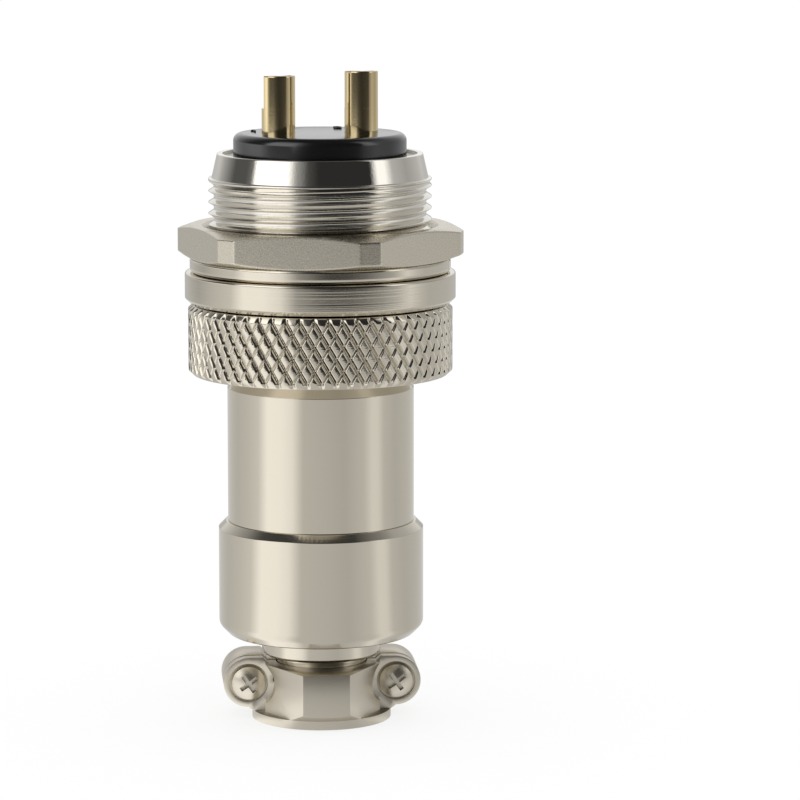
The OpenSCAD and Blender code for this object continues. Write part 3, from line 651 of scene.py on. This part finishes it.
class CONNECTOR_OT_panel_nut(bpy.types.Operator):
    """Mill the panel nut: a hexagon with cut corners between two shallow cones"""
    bl_idname = "connector.panel_nut"
    bl_label = "Panel nut"

    def execute(self, context):
        half_flat, half_corner, turn = 23.2 / 2, 25.7 / 2, math.radians(-13.5)
        bore = context.scene.connector_thread.major / 2 + CLEAR
        sink, sink_h = bore + 0.55, 0.6
        bevel, run = 0.48, 1.4                  # height and width of the cones
        cone_r = half_corner + 0.1 - run
        sixth = TURN / 6
        half = sixth / 2
        # angles crowd near the vertical edges, which lie where flat and cut corner meet
        cut = (half_flat / math.cos(half) - half_corner) * math.tan(sixth)
        edge = half - math.atan2(cut, half_corner)
        crowd = np.linspace(-0.012, 0.012, 9)
        base = np.concatenate([np.linspace(-half, half, 61), edge + crowd, -edge + crowd])
        base = np.unique(np.round(base, 6))[:-1]
        angles = np.concatenate([base + k * sixth for k in range(6)])
        local = (angles + half) % sixth - half
        flat = half_flat / np.cos(local)
        corner = half_corner / np.cos(np.abs(local) - half)
        # a smooth minimum of the two distances breaks the vertical edges
        soft = 0.02
        rho = corner - soft * np.log(1 + np.exp((corner - flat) / soft))
        slope = bevel / run
        rise = np.maximum(rho - cone_r, 0) * slope
        top, foot = NUT_TOP - rise, NUT_FOOT + rise
        t = angles + turn - math.pi / 2

        def row(r, z):
            """One round of points (r cos t, r sin t, z)."""
            return np.stack(np.broadcast_arrays(r * np.cos(t), r * np.sin(t), z), -1)

        def edge_rows(z, out):
            """Rounds from a cone over its broken edge to the sides, out being the way up or down
            that leads away from the nut."""
            s = 0.05                            # half width of the broken edge
            return [
                row(rho - 4 * s, z + out * 4 * s * slope),
                row(rho - 1.5 * s, z + out * 1.5 * s * slope),
                row(rho - 0.4 * s, z - out * 0.1 * s),
                row(rho, z - out * s), row(rho, z - out * 3 * s)]

        cone = np.minimum(cone_r, rho - 0.25)
        rows = [
            row(bore, NUT_FOOT + sink_h), row(sink - 0.05, NUT_FOOT + 0.05), row(sink, NUT_FOOT),
            row(sink + 0.1, NUT_FOOT), row(cone - 0.02, NUT_FOOT), row(cone + 0.05, NUT_FOOT),
            *edge_rows(foot, -1), *edge_rows(top, 1)[::-1],
            row(cone + 0.05, NUT_TOP), row(cone - 0.02, NUT_TOP), row(sink + 0.1, NUT_TOP),
            row(sink, NUT_TOP), row(sink - 0.05, NUT_TOP - 0.05), row(bore, NUT_TOP - sink_h)]
        grid = np.stack(rows)
        grid[..., 2] = np.clip(grid[..., 2], NUT_FOOT, NUT_TOP)
        piece = build("panel_nut_milled", [(grid, grid_faces(*grid.shape[:2], True, True))],
                      weld=True)
        dress(piece, "panel_nut", finish_of(context, "nickel_satin"))
        return {"FINISHED"}


class CONNECTOR_OT_coupling_nut(bpy.types.Operator):
    """Knurl the coupling nut: grooves of two opposite helices cut a wall into diamonds"""
    bl_idname = "connector.coupling_nut"
    bl_label = "Coupling nut"

    def execute(self, context):
        # Grooves lie at the whole values of a and b; a + b grows by two over a pitch round the
        # nut and a - b by one over half a diamond of height. The wheel that cut the falling
        # grooves, those of a, went in deeper.
        knurl = context.scene.connector_knurl
        slope, n = knurl.slope, knurl.starts
        knots = np.append(slope * np.arange(0, 3, 0.5), 0.5)
        knots = np.concatenate([knots, 1 - knots[-2:0:-1]])
        per = len(knots)
        rows = per * knurl.rows
        chamfer, shallow = 0.4, 0.65
        z0, z1 = Z_COUPLING + chamfer, Z_COUPLING_TOP - chamfer

        def at(i):
            """The value of a or b at a grid line: the lines crowd at the grooves."""
            return np.floor_divide(i, per) + knots[i % per]

        m, k = np.arange(per * n)[None, :], np.arange(rows + 1)[:, None]
        a, b = at(m + k), at(m + 0 * k)
        falling, rising = (1 - np.clip(np.abs(x - np.round(x)) / width, 0, 1)
                           for x, width in ((a, 2 * slope), (b, slope)))
        r = KNURL_R - knurl.depth * np.maximum(falling, shallow * rising)
        t = math.pi * (a + b) / n
        z = z0 + (a - b) * (z1 - z0) / knurl.rows
        wall = np.stack([r * np.cos(t), r * np.sin(t), z], -1)
        # the rest of the outline, from the top chamfer through the bore to the foot chamfer; its
        # first and last corner only give the slant of the chamfers
        thread_r = context.scene.connector_thread.major / 2 + CLEAR
        lip_r, z_lip = 7.58, Z_COUPLING + 0.8
        rest = outline([
            (KNURL_R - 0.3, Z_COUPLING_TOP - 0.3), (KNURL_R - chamfer, Z_COUPLING_TOP, 0.08),
            (thread_r + 0.5, Z_COUPLING_TOP, 0.05), (thread_r, Z_COUPLING_TOP - 0.6, 0.05),
            (thread_r, z_lip, 0.05), (lip_r, z_lip, 0.05), (lip_r, Z_COUPLING, 0.05),
            (KNURL_R - chamfer, Z_COUPLING, 0.08), (KNURL_R - 0.3, Z_COUPLING + 0.3)],
            closed=False)[1:-1]
        share = np.linspace(0, 1, len(rest))[:, None]
        turn = t[-1] * (1 - share) + t[0] * share
        inner = np.stack([rest[:, :1] * np.cos(turn), rest[:, :1] * np.sin(turn),
                          rest[:, 1:] + 0 * turn], -1)
        grid = np.concatenate([wall, inner])
        piece = build("coupling_nut_knurled", [(grid, grid_faces(*grid.shape[:2], True, True))])
        dress(piece, "coupling_nut", finish_of(context, "nickel_plate"))
        # the tops of the diamonds keep the turned lines of the blank
        second_finish(piece, finish_of(context, "nickel_lines"), KNURL_R - 0.03)
        return {"FINISHED"}


class CONNECTOR_OT_plug_sleeve(bpy.types.Operator):
    """Turn the plug's sleeve, with the hole for the set screw at its back"""
    bl_idname = "connector.plug_sleeve"
    bl_label = "Plug sleeve"

    def execute(self, context):
        bore_r, foot_r, neck_r, z_cone = 7.23, 7.9, 7.53, Z_NECK - 1.2
        corners = [
            (bore_r, Z_SLEEVE_FOOT, 0.03), (foot_r, Z_SLEEVE_FOOT, 0.03),
            (foot_r, Z_TAIL_TOP, 0.03), (SLEEVE_R, Z_TAIL_TOP, 0.03), (SLEEVE_R, z_cone, 0.12),
            (neck_r, Z_NECK, 0.08), (bore_r, Z_NECK, 0.03)]
        line = dense(outline(corners), Z_TAIL_TOP, z_cone + 1e-3, 0.06)
        low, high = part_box("set_screw")
        z_hole, hole_r, depth, edge = (low.z + high.z) / 2 / MM, 1.03, 1.1, 0.06
        back, reach = math.pi / 2, 0.16

        def bend(r, z, t):
            """Inside the hole's circle the wall drops to a floor just above the bore."""
            away = np.hypot((t - back) * SLEEVE_R, z - z_hole)
            drop = depth * np.clip((hole_r + edge / 2 - away) / edge, 0, 1)
            return np.where(r > SLEEVE_R - 0.05, r - drop, r)

        fine = np.linspace(back - reach, back + reach, 60)
        rest = np.linspace(back + reach, back - reach + TURN, 220)[1:-1]
        grid = revolve(line, np.concatenate([fine, rest]), bend)
        piece = build("plug_sleeve_turned", [(grid, grid_faces(*grid.shape[:2], True, True))])
        dress(piece, "plug_sleeve", finish_of(context, "nickel_plate"))
        return {"FINISHED"}


class CONNECTOR_OT_tail_sleeve(bpy.types.Operator):
    """Turn the tail sleeve with its collar, neck and lip"""
    bl_idname = "connector.tail_sleeve"
    bl_label = "Tail sleeve"

    def execute(self, context):
        bore_r, lip_r, neck_r, collar_r, waist_r = 3.4, 4.6, 4.1, 5.4, 5.2      # from below
        room_r, seat_r, bevel, round_r, lead = 7.4, 7.93, 0.25, 0.95, 0.65
        z_neck, z_collar, z_tail = Z_TAIL_LIP + 1, Z_TAIL_LIP + 2.3, Z_TAIL_TOP - 10.4
        z_waist, z_room, z_seat = z_tail - 0.2, z_tail + 2.2, Z_TAIL_TOP - 3.83
        corners = [
            (bore_r, Z_TAIL_LIP, 0.1), (lip_r, Z_TAIL_LIP, 0.08), (lip_r, z_neck, 0.08),
            (neck_r, z_neck, 0.05), (neck_r, z_collar, 0.05), (collar_r - bevel, z_collar, 0.08),
            (collar_r, z_collar + bevel, 0.08), (collar_r, z_waist, 0.05),
            (waist_r, z_waist, 0.03), (waist_r, z_tail, 0.03), (TAIL_R - round_r, z_tail, 0.5),
            (TAIL_R, z_tail + round_r, 0.9), (TAIL_R, Z_TAIL_TOP - lead, 0.06),
            (TAIL_R - lead, Z_TAIL_TOP, 0.06), (seat_r, Z_TAIL_TOP, 0.03),
            (seat_r, z_seat, 0.03), (room_r, z_seat, 0.03), (room_r, z_room, 0.1),
            (bore_r, z_room, 0.1)]
        piece = build("tail_sleeve_turned", [ring_part(outline(corners), 240)])
        dress(piece, "tail_sleeve", finish_of(context, "nickel_plate"))
        return {"FINISHED"}


class CONNECTOR_OT_cad_finishes(bpy.types.Operator):
    """Give the CAD parts that keep their own mesh their finish, with welded and smoothed faces"""
    bl_idname = "connector.cad_finishes"
    bl_label = "Other parts"

    def execute(self, context):
        weld_gap, broken_edge, crease = 0.002, 0.09, math.radians(25)
        for name, piece in frame["nodes"].items():
            cast = name.startswith("clamp_")
            piece.data.materials.clear()
            piece.data.materials.append(finish_of(context, "nickel_cast" if cast else SLOTS[name]))
            piece.data.polygons.foreach_set("use_smooth", np.ones(len(piece.data.polygons), bool))
            weld = piece.modifiers.new("weld", "WELD")
            weld.merge_threshold = weld_gap * MM
            if cast and "half" in name:
                bevel = piece.modifiers.new("cast edges", "BEVEL")
                bevel.width, bevel.segments = broken_edge * MM, 2
                bevel.limit_method, bevel.angle_limit = "ANGLE", crease
            split = piece.modifiers.new("split", "EDGE_SPLIT")
            split.split_angle = crease
        return {"FINISHED"}


# ---------- studio ----------

# Brightness round the object, as its mirror finish shows it: pairs of azimuth in degrees (0
# towards the camera, positive to its right) and radiance, for the table, for the foot of the
# wall, for the wall above it, for the height where the soft boxes hang and for the ceiling
TABLE = ((-180, 0.75), (-121, 0.64), (-98, 0.72), (-80, 0.83), (-66, 1.28), (-47, 1.25),
         (-33, 1.12), (-20, 0.68), (9, 0.63), (30, 0.58), (55, 0.7), (66, 0.92), (75, 0.9),
         (84, 0.68), (103, 0.6), (129, 0.64), (180, 0.75))
FOOT = ((-180, 0.5), (-150, 0.6), (-122, 0.5), (-98, 0.68), (-79, 0.78), (-66, 1.25), (-47, 1.25),
        (-32, 1.05), (-18, 0.36), (0, 0.1), (10, 0.04), (25, 0.06), (40, 0.15), (52, 0.3),
        (67, 0.5), (82, 0.95), (95, 0.7), (105, 0.6), (132, 0.6), (150, 0.6), (180, 0.5))
LOW = ((-180, 0.5), (-150, 0.6), (-118, 0.7), (-100, 1.1), (-84, 1.3), (-76, 0.8), (-67, 0.2),
       (-55, 0.06), (0, 0.035), (52, 0.06), (62, 0.3), (80, 0.5), (108, 0.4), (140, 0.6),
       (180, 0.5))
HIGH = ((-180, 1.0), (-150, 0.8), (-130, 0.47), (-104, 0.1), (-85, 0.1), (-77, 0.2), (-72, 1.62),
        (-35, 1.62), (-25, 0.4), (-12, 0.08), (0, 0.03), (58, 0.03), (66, 1.3), (76, 1.3),
        (86, 0.55), (108, 0.42), (135, 0.57), (155, 0.85), (180, 1.0))
CEILING = ((-180, 0.05), (180, 0.05))
# The zones over the foot of the wall: each takes over from the one below it between two shares
# of the arc from the table to the zenith
ZONES = ((LOW, 0.056, 0.066), (HIGH, 0.12, 0.16), (CEILING, 0.5, 0.75))
PEAK = 1.7              # the radiance that a ramp's 1 stands for
FLOOR_Z = -0.01         # just under the object, so that its foot shows
TENT_R = 300


def round_grid(name, turn, rings):
    """A grid round the axis from rings of (r, z), with the azimuth from the camera's side as U
    and the ring's share as V."""
    share = np.linspace(0, 1, 145)
    t = turn + (share * 2 - 1.5) * math.pi
    r, z = np.array(rings, float).T[:, :, None]
    grid = np.stack(np.broadcast_arrays(r * np.cos(t), r * np.sin(t), z), -1)
    rows, columns = grid.shape[:2]
    piece = build(name, [(grid, grid_faces(rows, columns, False, False))])
    uv = np.stack(np.broadcast_arrays(share, np.linspace(0, 1, rows)[:, None]), -1).reshape(-1, 2)
    corners = np.empty(len(piece.data.loops), int)
    piece.data.loops.foreach_get("vertex_index", corners)
    piece.data.uv_layers.new(name="round").data.foreach_set("uv", uv[corners].ravel())
    return piece


def stage_material(name):
    """A new material for the studio: its tree, and the azimuth and ring share of its UV map."""
    material = bpy.data.materials.new(name)
    material.use_nodes = True
    tree = material.node_tree
    tree.nodes.clear()
    where = add(tree, "ShaderNodeUVMap", {"uv_map": "round"}).outputs[0]
    return material, tree, add(tree, "ShaderNodeSeparateXYZ", links={0: where}).outputs


def levels(stops):
    """Pairs of azimuth and radiance as ramp stops."""
    return [((azimuth + 180) / 360, value / PEAK) for azimuth, value in stops]


class CONNECTOR_OT_stage(bpy.types.Operator):
    """Set the camera, the pale floor, the white background and the soft light"""
    bl_idname = "connector.stage"
    bl_label = "Stage"

    def execute(self, context):
        scene, stage = context.scene, context.scene.connector_stage
        turn = math.radians(stage.azimuth)
        lens = bpy.data.cameras.new("camera")
        lens.lens, lens.sensor_width = stage.lens, 36
        lens.clip_start, lens.clip_end = 0.01, 20
        camera = bpy.data.objects.new("camera", lens)
        camera.location = (
            (math.sin(turn) * stage.distance + math.cos(turn) * stage.side) * MM,
            (-math.cos(turn) * stage.distance + math.sin(turn) * stage.side) * MM,
            stage.height * MM)
        camera.rotation_euler = (math.pi / 2 - math.radians(stage.pitch), 0, turn)
        scene.collection.objects.link(camera)
        scene.camera = camera

        # the floor: white to the camera but for the object's shadow, and to the metal a table
        # that is brighter under the lights
        floor = round_grid("floor", turn, [(r, FLOOR_Z) for r in (0, 60, TENT_R, 4000)])
        material, tree, uv = stage_material("white_paper_sweep")
        path = add(tree, "ShaderNodeLightPath").outputs
        paper = add(tree, "ShaderNodeBsdfDiffuse", {"Color": srgb("#EDEDED")})
        white = add(tree, "ShaderNodeEmission", {"Color": srgb("#FFFFFF"), "Strength": 1.0})
        seen = add(tree, "ShaderNodeMixShader", {0: 0.8},
                   {1: paper.outputs[0], 2: white.outputs[0]})
        table = add(tree, "ShaderNodeValToRGB", {"stops": levels(TABLE)}, {0: uv[0]})
        lit = add(tree, "ShaderNodeEmission", {"Strength": PEAK}, {0: table.outputs[0]})
        first = add(tree, "ShaderNodeMixShader", links={
            0: path["Is Camera Ray"], 1: paper.outputs[0], 2: seen.outputs[0]})
        both = add(tree, "ShaderNodeMixShader", links={
            0: path["Is Glossy Ray"], 1: first.outputs[0], 2: lit.outputs[0]})
        add(tree, "ShaderNodeOutputMaterial", links={"Surface": both.outputs[0]})
        floor.data.materials.append(material)

        # the room: soft boxes left and right of a dark front, a dark ceiling and a white back,
        # which only the metal sees
        lift = np.radians(np.linspace(0, 90, 31))
        tent = round_grid("tent", turn, TENT_R * np.stack([np.cos(lift), np.sin(lift)], -1))
        material, tree, uv = stage_material("studio_tent")
        wall = add(tree, "ShaderNodeValToRGB", {"stops": levels(FOOT)}, {0: uv[0]}).outputs[0]
        for above, start, end in ZONES:
            zone = add(tree, "ShaderNodeValToRGB", {"stops": levels(above)}, {0: uv[0]})
            share = add(tree, "ShaderNodeValToRGB", {"stops": [(start, 0.0), (end, 1.0)]},
                        {0: uv[1]})
            wall = add(tree, "ShaderNodeMix", {"data_type": "RGBA"},
                       {0: share.outputs[0], 6: wall, 7: zone.outputs[0]}).outputs[2]
        lit = add(tree, "ShaderNodeEmission", {"Strength": PEAK}, {0: wall})
        add(tree, "ShaderNodeOutputMaterial", links={"Surface": lit.outputs[0]})
        tent.data.materials.append(material)
        tent.visible_camera = tent.visible_diffuse = tent.visible_shadow = False
        tent.visible_transmission = False

        world = bpy.data.worlds.new("white_room")
        world.use_nodes = True
        tree = world.node_tree
        tree.nodes.clear()
        path = add(tree, "ShaderNodeLightPath").outputs
        white = add(tree, "ShaderNodeBackground", {"Color": srgb("#FFFFFF"), "Strength": 1.0})
        room = add(tree, "ShaderNodeBackground", {"Color": srgb("#FFFFFF"), "Strength": 1.25})
        mix = add(tree, "ShaderNodeMixShader", links={
            0: path["Is Diffuse Ray"], 1: white.outputs[0], 2: room.outputs[0]})
        add(tree, "ShaderNodeOutputWorld", links={"Surface": mix.outputs[0]})
        scene.world = world
        scene.view_settings.view_transform = "Standard"
        return {"FINISHED"}


# ---------- add-on ----------

class CONNECTOR_PT_panel(bpy.types.Panel):
    """Sidebar panel with the settings and the steps"""
    bl_label = "Connector"
    bl_idname = "CONNECTOR_PT_panel"
    bl_space_type = "VIEW_3D"
    bl_region_type = "UI"
    bl_category = "Connector"

    def draw(self, context):
        for name, group in SETTINGS.items():
            box = self.layout.box()
            for key in group.__annotations__:
                box.prop(getattr(context.scene, name), key)
        for step in STEPS:
            self.layout.operator(step.bl_idname)


SETTINGS = {
    "connector_thread": ConnectorThread,
    "connector_knurl": ConnectorKnurl,
    "connector_finish": ConnectorFinish,
    "connector_stage": ConnectorStage,
}
STEPS = (
    CONNECTOR_OT_cad_finishes, CONNECTOR_OT_receptacle_shell, CONNECTOR_OT_contact_pins,
    CONNECTOR_OT_contact_numbers, CONNECTOR_OT_lock_washer, CONNECTOR_OT_panel_nut,
    CONNECTOR_OT_coupling_nut, CONNECTOR_OT_plug_sleeve, CONNECTOR_OT_tail_sleeve,
    CONNECTOR_OT_stage,
)


def register():
    for group in (*SETTINGS.values(), *STEPS, CONNECTOR_PT_panel):
        bpy.utils.register_class(group)
    for name, group in SETTINGS.items():
        setattr(bpy.types.Scene, name, bpy.props.PointerProperty(type=group))


def unregister():
    for name in SETTINGS:
        delattr(bpy.types.Scene, name)
    for group in (CONNECTOR_PT_panel, *reversed(STEPS), *SETTINGS.values()):
        bpy.utils.unregister_class(group)


def main():
    register()
    for step in STEPS:
        getattr(bpy.ops.connector, step.bl_idname.split(".")[1])()


if __name__ == "__main__":
    main()
